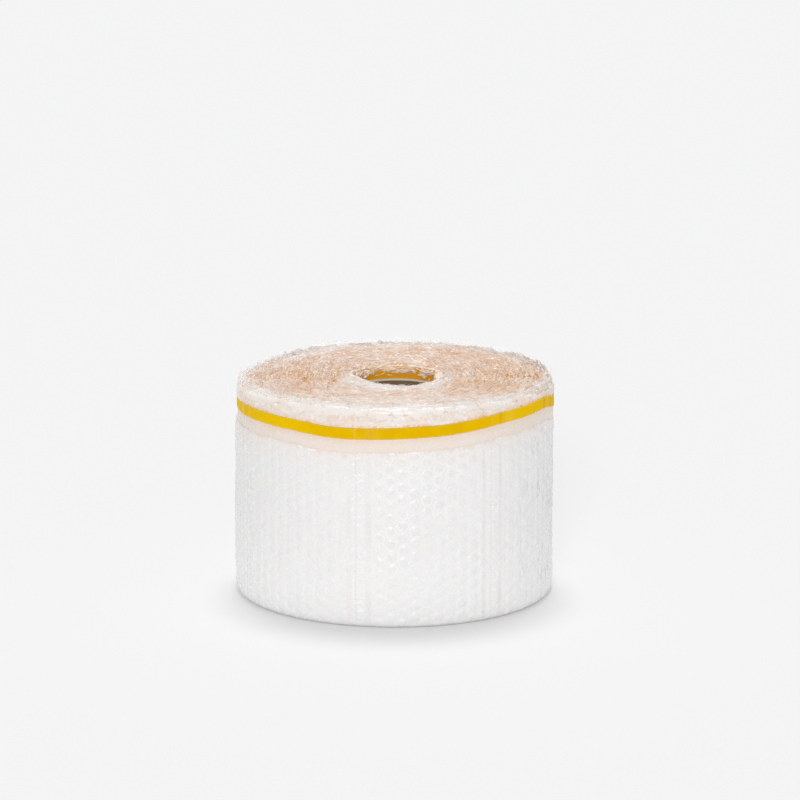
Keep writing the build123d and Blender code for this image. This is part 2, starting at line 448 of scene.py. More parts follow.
def strip_tape(name, deep):
    """Yellow tape, pale at its creases and edges. Its side field is painted light, brighter towards the sides
    of the roll. Where its dark field is set it takes the deep colour: painted shade on the outer strip,
    painted light in the throat.
    """
    s = Shading(name)
    pale, dark, side = s.fields("pale", "dark", "side")
    fine, broad = s.cloud(700.0), s.cloud(70.0)
    colour = s.coats((0.785, 0.458, 0.0), (s.ramp(broad, 0.35, 0.65), (0.81, 0.503, 0.0)),
                     # Painted light at the sides, then the deep colour where the dark field is set.
                     (side, (0.88, 0.55, 0.0)), (pale, (0.90, 0.72, 0.30)), (dark, deep))
    return s.film(colour, fine, (0.42, 0.55), 0.0002, 0.25, gloss=0.02)


BOARD_LEAD = 0.09  # metres along the core for one turn of its spiral seam
BOARD_PLY = 0.0007
BOARD_CUT = (CORE_TOP - 2.1) * MILLIMETRE, (CORE_TOP - 1.6) * MILLIMETRE  # where the cut end begins


def cardboard():
    """Grey-brown board wound in a spiral, with the plies showing on its pale cut end."""
    s = Shading("cardboard")
    across, onward, up = s.node("SeparateXYZ", {0: s.where()}).outputs
    turn = s.maths("DIVIDE", s.maths("ARCTAN2", onward, across), 2 * pi)
    wound = s.maths("ADD", turn, s.times(up, 1 / BOARD_LEAD))
    line = s.ramp(s.away(s.maths("FRACT", wound), 0.5), 0.0, 0.012, 1.0, 0.0)
    fibre = s.cloud(260.0, 5.0, 0.65, stretch=(1, 1, 0.35))
    broad = s.cloud(30.0)
    squares = s.maths("ADD", s.maths("POWER", across, 2.0), s.maths("POWER", onward, 2.0))
    layer = s.maths("FRACT", s.times(s.maths("POWER", squares, 0.5), 1 / BOARD_PLY))
    plies = s.ramp(s.away(layer, 0.5), 0.36, 0.46)
    end = s.coats((0.96, 0.87, 0.70), (plies, (0.84, 0.73, 0.55)))
    colour = s.coats((0.17, 0.11, 0.055), (fibre, (0.28, 0.195, 0.11)),
                     (s.ramp(broad, 0.4, 0.7), (0.27, 0.2, 0.12)), (line, (0.12, 0.08, 0.04)),
                     (s.ramp(up, *BOARD_CUT), end))
    height = s.maths("SUBTRACT", fibre, s.times(line, 2.0))
    s.set(Base_Color=colour, Roughness=0.85, Normal=s.bump(height, 0.0003, 0.6), Specular_IOR_Level=0.3)
    return s.material


FILM = bubble_film()
FLAP = flap_film()
EDGE = edge_film("edge_film", 0.45, (0.855, 0.642, 0.468))
LIP = edge_film("lip_film", 0.66, (0.91, 0.70, 0.535))
# Painted light: the curls in the throat are a brighter peach, for light that comes through the film.
CURL = edge_film("throat_curl_film", 0.5, (1.0, 0.84, 0.68))
WOUND = wound_film()
STRAND = strand_film("strand_film", (0.91, 0.875, 0.855))
STRAND_RIM = strand_film("strand_rim_film", (0.98, 0.96, 0.95), 0.5)
STRAND_PEACH = strand_film("strand_peach_film", (0.85, 0.70, 0.575))
STRAND_ORANGE = strand_film("strand_orange_film", (0.68, 0.32, 0.04), 0.8)
# Painted light: the strands in the throat are a brighter peach, for light that comes through the film.
STRAND_THROAT = strand_film("strand_throat_film", (1.0, 0.83, 0.66))
GLINT = strand_film("glint_film", (1.0, 0.995, 0.99), 0.8)
TAPE = strip_tape("strip_tape", (0.76, 0.38, 0.01))
# Painted light: in the throat the tape takes a brighter orange, for light that comes through the film.
THROAT_TAPE = strip_tape("throat_strip_tape", (1.0, 0.46, 0.02))
BOARD = cardboard()


# Outermost turn

STEPS_ROUND = 1014
ALL_ROUND = once_round(STEPS_ROUND)
PAST_TAIL = ALL_ROUND[-1] + np.array([0.5, 1.2, 2.4])  # where the turn goes on under its own tail
ARC_ROWS = 13  # round the folded bottom of a bag
WALL_ROWS = 182

# Lines at which the film is pulled tight: height, and azimuths where each comes and goes
PULLS = ((91, -39, -35, -24, -19), (78, 9, 13, 21, 26))


def tail_fall(azimuth):
    """How far the outermost turn thins towards its cut end."""
    reach = np.radians(azimuth - TAIL_AZIMUTH) * BAG_START
    return TAIL_DROP * np.clip(1 - reach / TAIL_LENGTH, 0, 1)


def outermost(start, azimuth):
    """Distance from the axis of the outermost turn of a ply that starts at this radius."""
    return spiral(start, azimuth - TAIL_AZIMUTH) - tail_fall(azimuth)


def undulation(azimuth, height):
    """Broad shallow hollows of the whole outermost turn."""
    s = along(azimuth)
    return 0.55 * layered(s / 46, height / 60, 11, 2) + 0.25 * layered(s / 17, height / 26, 12, 2)


def slack_wave(s, height):
    """Broad waves of the flap, which the strip follows. At the left it draws in."""
    return 0.35 * layered(s / 19, height / 30, 66, 2) - 2.3 * hill(s, -ROLL_RADIUS * 1.62, 62)


def wobbled(azimuth, height):
    """The place in the even rows of bubbles that the slack of the film brings here."""
    s = along(azimuth)
    onward, upward = (0.45 * noise(s / 9, height / 9, seed) + 1.3 * noise(s / 42, height / 42, seed + 2)
                      for seed in (21, 22))
    return azimuth + np.degrees(onward / ROLL_RADIUS), height + upward


def seals(azimuth, height):
    """How much of a heat seal each point has, and whether it lies in the empty film between two bags."""
    line, half = bag_lines(azimuth), SEAL_WIDTH / 2
    before = 0.8 * step(half + 0.3, half - 1.9, np.abs(line + SEAL_BEFORE))
    after = step(half + 0.6, half - 1.6, np.abs(line - SEAL_AFTER))
    firm = np.clip(0.72 + 0.6 * layered(along(azimuth) / 40, height / 22, 35, 2), 0.25, 1)
    seal = np.maximum(before, after) * firm * (1 - 0.45 * step(40, 62, np.abs(azimuth)))
    begun = step(2.2 - SEAL_BEFORE, 3.6 - SEAL_BEFORE, line)
    return seal, begun * step(SEAL_AFTER - 2.2, SEAL_AFTER - 3.6, line)


def clearness(azimuth, height):
    """How clearly the bubbles read: in patches, and best near the middle of the front."""
    clear = 1.1 * hill(azimuth, 3, 11) * hill(height, 128, 34)
    return np.clip(clear + 0.25 + 0.7 * layered(along(azimuth) / 36, height / 30, 36, 3), 0.06, 1)


def shade_flecks(azimuth, height):
    """Upright dark marks, mostly at the right: painted shade where the film turns away from the light at the
    sides.
    """
    s = along(azimuth)
    sides = step(42, 62, azimuth) * step(130, 100, azimuth) + 0.3 * step(-48, -66, azimuth)
    patches = np.clip(0.25 + height / 320 + 0.8 * layered(s / 30, height / 28, 38, 2), 0, 1)
    return sides * patches * step(0.15, 0.75, layered(s / 2.6, height / 6, 37, 2))


def wall_relief(azimuth, height):
    """Relief of the bubble film over the bag's surface, with the fields its material reads."""
    s = along(azimuth)
    distance, turn, first, second = bubbles(*wobbled(azimuth, height))
    seal, between = seals(azimuth, height)
    clear = clearness(azimuth, height)

    full = 0.72 + 0.28 * first
    full = np.where(second > 0.82, full * 0.35, full)
    arched = 0.85 + 0.15 * (1 - (distance / BUBBLE_RADIUS) ** 2)
    dome = full * step(BUBBLE_RADIUS, 3.3, distance) * arched * (0.55 + 0.45 * clear)
    pucker = 0.16 * creased(s / 2.6 + 7 * first, height / 2.6 + 5 * second, 31, 1) * step(4.2, 2.6, distance)
    relief = dome + pucker * (0.5 + clear)

    squeezed = (height - ROW_START) / (ROW_STEP / 2) + 0.4 * noise(s / 4, height / 6, 33)
    furrow = (0.5 + 0.5 * np.cos(2 * pi * squeezed)) ** 5 * (0.6 + 0.8 * noise(s / 7, height / 5, 34))
    relief = relief * (1 - between) + between * (0.3 * dome + 0.75 * furrow + 0.1)
    relief = relief * (1 - seal) - 0.55 * seal
    groove = step(1.1, 0.0, np.abs(bag_lines(azimuth)))
    relief = relief * (1 - 0.6 * groove) - 0.25 * groove
    drawn = sum(hill(height, level, 1.6) * step(a, b, azimuth) * step(d, c, azimuth)
                for level, a, b, c, d in PULLS)
    relief = relief + 0.12 * creased(s / 21, height / 15, 41, 2) + 0.35 * drawn - 1.1

    # Painted highlight: a bubble's pale ring is brightest along a crescent.
    lit = 0.35 + 0.65 * (0.5 + 0.5 * np.cos(turn - 3.1 * first)) * (0.6 + 0.4 * second)
    lit = np.where(distance < 4, 1, lit)
    clear = np.maximum(clear * lit, between * np.clip(furrow * 1.6, 0, 1))
    ring = np.where(between + seal > 0.5, NO_BUBBLE, distance)
    ring = np.where(between * furrow > 0.25, BUBBLE_RIM, ring)
    dots = groove * (0.5 + 0.5 * np.cos(height * 2 * pi / PERFORATION_STEP))
    # The shade field darkens the perforation dots, which are real holes, and the upright marks at the sides,
    # which are painted shade.
    shade = np.maximum(0.45 * dots, shade_flecks(azimuth, height))
    return relief, {"ring": ring, "clear": clear, "seal": np.clip(seal, 0, 1), "shade": shade}


def bag_sheet(azimuth):
    """Places of one bag's film from its folded bottom to its mouth, with the fields its material reads."""
    rows = np.arange(1 - ARC_ROWS, WALL_ROWS + 1)
    arc = np.minimum(1 + rows / (ARC_ROWS - 1), 1) * pi / 2
    inset, low = BASE_RADIUS * (1 - np.sin(arc)), BASE_RADIUS * (1 - np.cos(arc))
    share = np.maximum(rows, 0) / WALL_ROWS
    s = along(azimuth)
    mouth = MOUTH_HEIGHT + wave(azimuth) + ragged(s, (0.5, 7), (0.4, 2.3), 51, 0)
    height = low + share * (mouth[:, None] - BASE_RADIUS)
    around = np.broadcast_to(azimuth[:, None], height.shape)
    s, below = along(around), mouth[:, None] - height
    relief, fields = wall_relief(around, height)

    # Painted highlights: short pale strokes along the edge of the mouth.
    mouth_glints = step(2.4, 1.4, below) * step(0.2, 0.8, below) * (noise(s / 5, 0.5, 53) > 0.42)
    fields["ring"] = np.where(mouth_glints > 0.5, BUBBLE_RIM, fields["ring"])
    fields["clear"] = np.maximum(fields["clear"], mouth_glints)
    fold = step(0, 7, height)
    relief = relief * (0.35 + 0.65 * fold)
    fray = 2.2 * noise(s / 5, 0.5, 54) + 1.6 * noise(s / 2.2, height / 3, 55)
    warm = step(6.5, 0.8, below + fray - 1.2 * relief)
    fields["warm"] = np.maximum(warm, 0.3 * step(24, 2, below + 2 * fray))

    # Towards the mouth the film comes down on the flap behind it
    radius = outermost(BAG_START, azimuth)[:, None]
    sway = undulation(around, height)
    out = radius - inset + relief + sway * (0.3 + 0.7 * fold)
    flap_side = radius - FRONT_PLY + slack_wave(s, height) + 0.8 * sway + 0.12
    out = out + (np.maximum(out, flap_side + 0.3) - out) * step(9.0, 3.0, below)
    out = out + (flap_side - out) * step(1.6, 0.0, below)
    return around, out, np.maximum(height, FLOOR_GAP), fields


def bag_wall():
    """The bags of the outermost turn, each from one perforated line to the next."""
    whole = 2 * pi * ROLL_RADIUS
    starts = np.append(np.arange(0, whole, BAG_PITCH), whole)
    lines = np.round(starts / whole * STEPS_ROUND).astype(int)
    for number, (first, last) in enumerate(zip(lines[:-1], lines[1:]), 1):
        azimuth = ALL_ROUND[first:last + 1]
        if last == STEPS_ROUND:
            azimuth = np.append(azimuth, PAST_TAIL)
        around, out, height, fields = bag_sheet(azimuth)
        grid = placed(around, out, height)
        if first == 0:
            grid = np.concatenate([placed(around[:1], out[:1] - BAG_UNDER, height[:1]), grid])
            fields = {key: np.concatenate([field[:1], field]) for key, field in fields.items()}
        make_piece(f"bag_{number}", grid, FILM, **fields)


FLAP_FOOT = MOUTH_HEIGHT - 4
FLAP_ROWS = 17
FLAP_LENGTH = 26.0  # of its upright part, as its pattern counts it
LIP_FOOT = 186.0  # height where the free edge begins to lean
LIP_ROWS = 24
LIP_LENGTH = 16.5
LIP_BEND = 1.15  # radians, at the front
MOST_BEND = 1.5  # where the edge leans in no more than at the front


def lip_shape(azimuth):
    """How far the flap's free edge leans in, how much taller it stands, and how uneven it is. It is slack
    at the left and upright at the right."""
    turned = signed(azimuth)
    back = hill(np.abs(turned), 180, 40)
    left, left_back = hill(turned, -85, 42), hill(turned, -124, 38)
    right, right_back = hill(turned, 105, 48), hill(turned, 132, 34)
    bend = LIP_BEND + 0.58 * left - 0.62 * right - 0.25 * back
    tall = 0.7 * back - 2.3 * left - 3.0 * left_back - 0.5 * right_back
    return bend, tall, 1 - 0.55 * right_back


def flap_sheet(inset, seed):
    """Points of a ply of the flap, which leans in over the top, with its tint, crumple and glow."""
    azimuth = np.append(ALL_ROUND, PAST_TAIL)
    s, rise = along(azimuth), wave(azimuth)
    bend, taller, uneven = lip_shape(azimuth)
    most = MOST_BEND + np.clip(bend - LIP_BEND, 0, 1)
    bend = bend + ragged(s, (0.35, 17), (0.25, 6), seed + 2) * uneven
    tall = LIP_LENGTH + ragged(s, (1.9, 12), (2.2, 3.5), seed) * uneven - 0.4 * rise + taller

    rows = np.arange(FLAP_ROWS) / (FLAP_ROWS - 1)
    upright = FLAP_FOOT + rise[:, None] + rows * (LIP_FOOT - FLAP_FOOT - 0.6 * rise[:, None])
    radius = outermost(FLAP_START, azimuth) - inset
    share = np.arange(1, LIP_ROWS + 1) / LIP_ROWS
    pace, flat = tall[:, None] / LIP_ROWS, np.zeros(upright.shape)
    tilt = np.minimum(bend[:, None] * share**1.1, most[:, None])
    lean = np.concatenate([flat, tilt], 1)
    out = radius[:, None] - np.concatenate([flat, np.cumsum(pace * np.sin(tilt), 1)], 1)
    height = np.concatenate([upright, upright[:, -1:] + np.cumsum(pace * np.cos(tilt), 1)], 1)
    length = np.concatenate([rows * FLAP_LENGTH, FLAP_LENGTH + share * 16])
    around = np.broadcast_to(azimuth[:, None], height.shape)
    s, rise = along(around), rise[:, None]

    strip_mid = STRIP_LOW + STRIP_WIDTH / 2 + rise
    over = step(strip_mid + 4.5, strip_mid + 12, height)
    crumple = 0.8 * creased(s / 7, length / 5, seed + 4, 3) + 0.45 * noise(s / 2.4, length / 3, seed + 5)
    push = over * crumple + slack_wave(s, height) + undulation(around, height) * 0.8
    push = push - 2.2 * step(MOUTH_HEIGHT - 2.2, MOUTH_HEIGHT - 4.5, height - rise)
    out = out + push * np.cos(lean)
    height = height + over * push * np.sin(lean)

    level = height - strip_mid
    streaks = 0.5 + 0.5 * layered(s / 16, height / 2.2, 67, 2)
    band = (0.55 + 0.2 * streaks) * (1 - 0.4 * step(-5, -13, level))
    front = facing(around)
    above = 0.62 - 0.24 * step(0.4, 0.95, front) + 0.24 * layered(s / 12, height / 5, 69, 2)
    # Painted shade: more peach where the front of the lip lies flat and faces the light.
    above = above + 0.22 * front * np.sin(np.minimum(lean, pi / 2)) ** 2
    tint = np.where(level < 0, band, np.clip(above, 0, 1))
    glow = hill(level, 6.0, 1.3) * np.clip(0.55 + 0.9 * noise(s / 9, 0.3, 68), 0, 1)
    return placed(around, out, height), tint, over, glow


def flap():
    """The single ply above the mouths, which carries the strip, and its free edge, with a second inside."""
    for name, inset, seed, foot in (("flap_edge", 0.0, 60, 28), ("flap_edge_inner", BAG_UNDER, 560, 22)):
        grid, *fields = flap_sheet(inset, seed)
        if inset == 0:
            tint, crumple, glow = (field[:, :foot + 1] for field in fields)
            make_piece("bag_flap", grid[:, :foot + 1], FLAP, tint=tint, crumple=crumple, glow=glow)
        rise = np.linspace(0, 1, grid.shape[1] - foot) ** 2
        make_piece(name, grid[:, foot:], LIP, tint=fields[0][:, foot:], rise=rise)


# Creases of the outer strip: azimuth, width and depth, which is below zero where the crease is pale
STRIP_FOLDS = (
    (-71.6, 0.5, -0.85), (-79.0, 5.0, -0.1), (-66.5, 1.2, 0.2), (-8.5, 3.0, -0.05), (-4.0, 1.2, 0.16),
    (34.5, 2.2, 0.18), (40.0, 0.8, 0.75), (44.5, 2.6, -0.07), (67.5, 0.9, 0.7), (71.5, 1.6, -0.06),
    (75.5, 1.6, 0.6),
)
STRIP_ACROSS = np.arange(11) / 10
STRIP_HEM = 0.4


def strip_edge(azimuth, above, row, seed):
    """Height of an edge of the outer strip, which isn't quite even."""
    return above + wave(azimuth) + ragged(along(azimuth), (0.12, 11), (0.08, 3), seed, row)


def hemmed(values, inset=0.0):
    """Values across the strip, with its two edges, which turn in by the inset."""
    return np.concatenate([values[:, :1] - inset, values, values[:, -1:] - inset], 1)


def outer_strip():
    """The yellow strip round the outermost flap."""
    azimuth = once_round(720)
    low = strip_edge(azimuth, STRIP_LOW, 0.2, 71)
    high = strip_edge(azimuth, STRIP_LOW + STRIP_WIDTH, 0.8, 73)
    height = low[:, None] + STRIP_ACROSS * (high - low)[:, None]
    around = np.broadcast_to(azimuth[:, None], height.shape)
    s = along(around)
    folds = sum(deep * hill(around, middle, wide) for middle, wide, deep in STRIP_FOLDS)
    crinkle = 0.16 * creased(s / 7, height / 40, 75, 1) + 0.12 * noise(s / 2.5, height / 25, 76)
    crown = 0.5 + 0.25 * (1 - (2 * STRIP_ACROSS - 1) ** 2)
    out = outermost(FLAP_START, azimuth)[:, None] + crown + crinkle + 0.35 * folds
    out = out + slack_wave(s, height) + undulation(around, height) * 0.8

    line = bag_lines(around)
    dots = step(0.7, 0.25, np.abs(line)) * (np.cos(height * 2 * pi / 2.2) > -0.2)
    edge = np.maximum(step(0.09, 0, STRIP_ACROSS), step(0.93, 1, STRIP_ACROSS))
    pale = np.maximum(np.clip((0.3 + 0.6 * (around < -50)) * dots, 0, 1),
                      0.35 * edge * (0.6 + 0.4 * noise(s / 4, 0.1, 77)))
    pale = np.maximum(pale, np.maximum(-folds, 0))
    # Painted shade in the creases, and a darker band beside the seal.
    dark = np.clip(0.2 * hill(line, SEAL_AFTER + 3, 1.2) + np.maximum(folds, 0), 0, 1)
    # Painted light: the strip is a brighter yellow towards the sides of the roll, where the light falls off.
    side = step(0.96, 0.72, np.cos(np.radians(azimuth)))[:, None]
    grid = placed(azimuth[:, None], hemmed(out, STRIP_HEM), hemmed(height))
    make_piece("closure_strip_outer", grid, TAPE, "strip", "closure_strip",
               pale=hemmed(pale), dark=hemmed(dark), side=side)


def throat_strip():
    """The strip of the first bag, which shows in the throat above the core."""
    azimuth = once_round(180)
    turned = signed(azimuth)[:, None]
    low = CORE_TOP + 0.2 + 5.0 * hill(turned, -88, 24)
    high = 198.3 + 0.4 * noise(turned / 20, 0.1, 78) - 1.8 * step(0.4, 0.9, np.cos(np.radians(turned)))
    height = low + (high - low) * STRIP_ACROSS[::-1]
    around = np.broadcast_to(azimuth[:, None], height.shape)
    out = 38.45 + 0.35 * noise(around / 9, height / 8, 79)
    out[-1], height[-1] = out[0], height[0]
    # Painted light: the dark field here gives the tape its brighter orange deep colour.
    patches = np.clip(0.9 + 0.4 * noise(around / 14, height / 5, 80), 0, 1)
    make_piece("closure_strip_throat", placed(around, out, height), THROAT_TAPE, "strip", "closure_strip",
               pale=0, dark=patches, side=0)


# End of the roll

END_HEIGHT = 197.0  # of the wound film under its free edges
END_SKIRT = 183.0  # down to which it goes on inside the flap
END_INNER = 41.5  # radius at which it meets the throat
EDGE_FOOT = 196.6  # height from which the free edges stand up
EDGE_LIMIT = 202.2  # and which they keep under
EDGE_PLIES = 3  # to a turn
EDGE_ROWS = 4
EDGE_STEP = 1.25
INNERMOST = 43.0  # radius at which the plies end, and from which the strands begin


def tinting(azimuth, radius):
    """Share of peach on the end face, where the strips of the wound bags show through."""
    x, y = radius * np.sin(np.radians(azimuth)), radius * np.cos(np.radians(azimuth))
    reach = (radius - THROAT_RADIUS) / (ROLL_RADIUS - THROAT_RADIUS) + 0.07 * layered(x / 19, y / 19, 82, 2)
    front = step(0.68, 0.98, facing(azimuth))
    left, back = hill(signed(azimuth), -80, 45), hill(np.abs(signed(azimuth)), 180, 60)
    # The white margin at the back is real. Its extra width is painted light, lifting the shade at the back
    # rim.
    outer = 1.06 - 0.05 * front + 0.03 * left - 0.14 * back
    inner = 0.16 * front - 0.12 * back
    body = step(inner, inner + 0.22, reach) * (1 - step(outer - 0.22, outer, reach))
    body = body * (1 - 0.45 * front * step(0.15, 0.55, reach) - 0.25 * left * step(0.6, 0.9, reach))
    patches = 0.5 + 0.5 * layered(x / 17, y / 17, 81, 3)
    return np.clip(body * (0.5 + 0.7 * patches), 0.16, 1)


def shoulder(azimuth, radius):
    """How far the rim of the end face sinks behind the left side and the right. It stands up in front."""
    turned = signed(azimuth)
    sunk = 4.3 * hill(turned, -118, 40) + 1.9 * hill(turned, 108, 26)
    front = step(0.5, 0.9, facing(azimuth))
    return sunk * step(95, 140, radius) - 2.8 * front * step(116, 134, radius)


def throat_dip(azimuth, radius):
    """How far the turns next to the core sink right of the front. They rise at the sides, mostly the left."""
    turned = signed(azimuth)
    sunk = 1.9 * hill(turned, 24, 22) + 0.9 * hill(turned, -8, 26)
    risen = 2.3 * hill(turned, -66, 24) + 0.9 * hill(turned, 80, 20)
    torn = ragged(turned, (0.5, 12), (0.4, 4), 105) * step(110, 70, np.abs(turned))
    return (sunk - risen + torn) * step(58, 42, radius)


def end_face():
    """Wound film just under the free edges."""
    azimuth = once_round(450)
    turned = (azimuth - TAIL_AZIMUTH) % 360
    outer = (spiral(FLAP_START, turned) - tail_fall(azimuth) - 1.9)[:, None]
    radius = outer + np.arange(76) / 75 * (END_INNER - outer)
    around = np.broadcast_to(azimuth[:, None], radius.shape)
    wound = (spiral(FLAP_START, turned)[:, None] - radius) / TURN_PITCH
    s = np.radians(around) * radius
    ridge = np.abs(((wound * 2) % 1) - 0.5) * 2
    crumple = creased(s / 8, radius / 3.4, 91, 3)
    leaning = np.clip((lip_shape(azimuth)[0][:, None] - 0.5) / 0.65, 0, 1)
    height = END_HEIGHT + 0.9 * ridge + 0.6 * crumple - (0.8 + 2.2 * leaning) * step(5, 0, outer - radius)
    height = height - throat_dip(around, radius) - shoulder(around, radius)
    # Deeper orange between the turns: partly the strips under the film, partly painted shade.
    depth = np.clip(0.1 - 0.35 * ridge - 0.35 * crumple + 0.75 * layered(s / 14, radius / 7, 93, 2), 0, 0.85)

    skirt = np.arange(5) / 5
    radius = np.concatenate([outer + 0.6 - 0.6 * skirt, radius], 1)
    height = np.concatenate([END_SKIRT + skirt * (height[:, :1] - END_SKIRT), height], 1)
    depth = np.concatenate([np.repeat(depth[:, :1], len(skirt), 1), depth], 1)
    height[-1], depth[-1] = height[0], depth[0]
    tint = tinting(azimuth[:, None], radius)
    make_piece("wound_turns", placed(azimuth[:, None], radius, height), WOUND,
               tint=tint, depth=depth * np.clip(tint * 1.4, 0, 1))


def ply_turns(start):
    """Even steps along a ply that starts at this radius, a turn of it at a time: how far each is turned on
    from the tail, and the length of the ply up to there."""
    last = (start - INNERMOST) / TURN_PITCH * 360
    fine = np.linspace(0, last, 40000)
    reach = np.concatenate([[0], np.cumsum(np.radians(fine[1:] - fine[:-1]) * spiral(start, fine[1:]))])
    lengths = np.arange(0, reach[-1], EDGE_STEP)
    turned = np.interp(lengths, reach, fine)
    for index in range(int(np.ceil(last / 360))):
        picked = (turned >= index * 360 - 0.8) & (turned <= (index + 1) * 360)
        if picked.sum() > 7:
            yield turned[picked], lengths[picked]


def film_edges():
    """Free edges of the plies, which stand up, lean and curl along every turn."""
    parts = {"film_edges_outer": ([], []), "film_edges_inner": ([], [])}
    share = np.arange(EDGE_ROWS + 1) / EDGE_ROWS
    for ply in range(EDGE_PLIES):
        start, seed = FLAP_START - 3.6 - TURN_PITCH / EDGE_PLIES * ply, 200 + 10 * ply
        for turned, length in ply_turns(start):
            azimuth, s = TAIL_AZIMUTH + turned, length + 3000 * ply
            radius = spiral(start, turned) - tail_fall(azimuth)
            height = EDGE_FOOT + 0.5 * noise(s / 9, 0.5, seed)
            height = height - throat_dip(azimuth, radius) - shoulder(azimuth, radius)
            tall = (4.4 + 1.1 * layered(s / 7, 0.5, seed + 1, 3)) / EDGE_ROWS
            lean = ragged(s, (0.4, 15), (0.5, 5), seed + 2)
            curl = ragged(s, (1.5, 10), (1.1, 3.6), seed + 4)
            out = radius + 0.9 * noise(s / 6, 0.5, seed + 6)
            tilt = np.clip(lean[:, None] + curl[:, None] * share[1:] ** 1.5, -1.9, 1.9)
            wrinkle = 0.5 * share * creased(s[:, None] / 3.6, share * 1.7, seed + 7, 2)
            rows_r = np.cumsum(np.column_stack([out, tall[:, None] * np.sin(tilt)]), 1) + wrinkle
            rows_z = np.cumsum(np.column_stack([height, tall[:, None] * np.cos(tilt)]), 1) + 0.4 * wrinkle
            rows_z[:, 1:] = np.minimum(rows_z[:, 1:], EDGE_LIMIT)
            grids, tints = parts["film_edges_outer" if radius.mean() > 104 else "film_edges_inner"]
            grids.append(placed(azimuth[:, None], rows_r, rows_z))
            tints.append(tinting(azimuth[:, None], rows_r))
    for name, (grids, tints) in parts.items():
        make_piece(name, grids, EDGE, tint=tints, rise=share)


# Throat

THROAT_RIM = 42  # radius at which the film turns down into the throat
THROAT_STATIONS = once_round(360)[:, None]
THROAT_ROWS = np.arange(21) / 20
CURL_ROWS = 8


def throat_film():
    """Film of the first turn, which draws in round the throat over the end of the core."""
    around = THROAT_STATIONS + 0 * THROAT_ROWS
    rows, length, s = THROAT_ROWS, THROAT_ROWS * 16, np.radians(around) * THROAT_RIM
    angle = rows * pi * 0.72
    out = 42.6 - 3.4 * np.sin(angle) + 3.0 * (1 - rows) - 2.2 * rows * (1 - rows)
    drop = np.maximum(rows - 0.55, 0) * (1 + 0.9 * noise(s / 9, 0.5, 103))
    turned = signed(around)
    overhang = (5.5 * hill(turned, 88, 21) + 1.4 * hill(turned, -62, 20)) * step(0.3, 1, rows)
    height = 196.0 + 3.0 * np.sin(angle * 1.2) - 5.0 * drop - throat_dip(around, THROAT_RIM)
    crumple = creased(s / 4, length / 3, 101, 3)
    out = np.maximum(out + 0.8 * crumple, 38.9) - overhang
    height = height + 0.9 * crumple + ragged(s, (0.8, 5), (0.5, 1.8), 108)
    height = height + 0.5 * noise(s / 1.7, length / 3, 107) * rows
    out[-1], height[-1] = out[0], height[0]
    tint = 0.8 - 0.7 * facing(around) + 0.2 * np.abs(np.sin(np.radians(around)))
    tint = np.clip(tint + 0.2 * noise(s / 5, length / 5, 104), 0, 1)
    make_piece("throat_film", placed(around, out, height), FLAP, tint=tint, crumple=0.55, glow=0)


def first_turn():
    """The even film behind the strip in the throat."""
    rows = THROAT_ROWS[::-1]
    covered = 11.0 - 1.8 * step(0.4, 0.9, facing(THROAT_STATIONS))
    grid = placed(THROAT_STATIONS, 38.75 + 2.9 * (1 - rows), CORE_TOP + 0.4 + covered * rows)
    make_piece("first_turn", grid, FLAP, tint=0.4, crumple=0, glow=0)


def throat_curls():
    """Two loose plies that curl in over the strip, longest at the back."""
    azimuth = once_round(300)
    s, back = np.radians(azimuth) * 38.5, 1 - facing(azimuth)
    plies = []
    for seed in (300, 320):
        out, height = 40.4 + 0 * s, 198.6 + 0.9 * noise(s / 6, 0.5, seed) - throat_dip(azimuth, THROAT_RIM)
        tall = 1.8 + 3.6 * back + (1.0 + 3.8 * back) * layered(s / 10, 0.5, seed + 1, 3)
        tall = np.maximum(tall, 0.6) / CURL_ROWS
        rows_r, rows_z = [out], [height]
        for row in range(1, CURL_ROWS + 1):
            share = row / CURL_ROWS
            tilt = 0.35 + 0.9 * min(1, 2.2 * share) - 0.25 * share + 0.35 * noise(s / 5, share, seed + 2)
            out = np.clip(out - tall * np.cos(tilt), 33.5, 41)
            height = height - tall * np.sin(tilt)
            wrinkle = creased(s / 3.2, share * 2.2, seed + 3, 2)
            rows_r.append(np.minimum(out + 0.55 * share * wrinkle, 38.3 + 2.1 * (1 - share)))
            rows_z.append(height + 0.5 * share * wrinkle)
        rows_r, rows_z = np.stack(rows_r[::-1], 1), np.stack(rows_z[::-1], 1)
        rows_r[-1], rows_z[-1] = rows_r[0], rows_z[0]
        plies.append(placed(azimuth[:, None], rows_r, rows_z))
    rise = np.linspace(1, 0, CURL_ROWS + 1) ** 3
    make_piece("throat_curls", plies, CURL, tint=0.15 + 0.75 * back[:, None], rise=rise)


def base():
    """Folded bottoms of the wound bags, on which the roll stands."""
    azimuth = 360 * np.arange(421) / 420
    turned = ((azimuth - TAIL_AZIMUTH) % 360)[:, None]
    outer = spiral(BAG_START, turned) - BASE_RADIUS + 0.3
    radius = END_INNER + np.arange(91) / 90 * (outer - END_INNER)
    around = np.broadcast_to(azimuth[:, None], radius.shape)
    wound = (spiral(BAG_START, turned) - radius) / TURN_PITCH
    gap = np.clip(1 - np.abs(((wound + 0.5) % 1) - 0.5) * 2 * 2.6, 0, 1)
    crumple = np.abs(creased(np.radians(around) * radius / 9, radius / 6, 111, 2))
    height = FLOOR_GAP + 2.4 * gap**1.5 + 0.35 * crumple
    height[-1] = height[0]
    make_piece("bag_bottoms", placed(around, radius, height), FILM,
               ring=NO_BUBBLE, clear=0, seal=0.8 * gap, shade=0, warm=0)


# Edges and small curls of film that catch the light

RNG = np.random.default_rng(27)
STRAND_POINTS = 6
STRAND_HEIGHT = 199.0

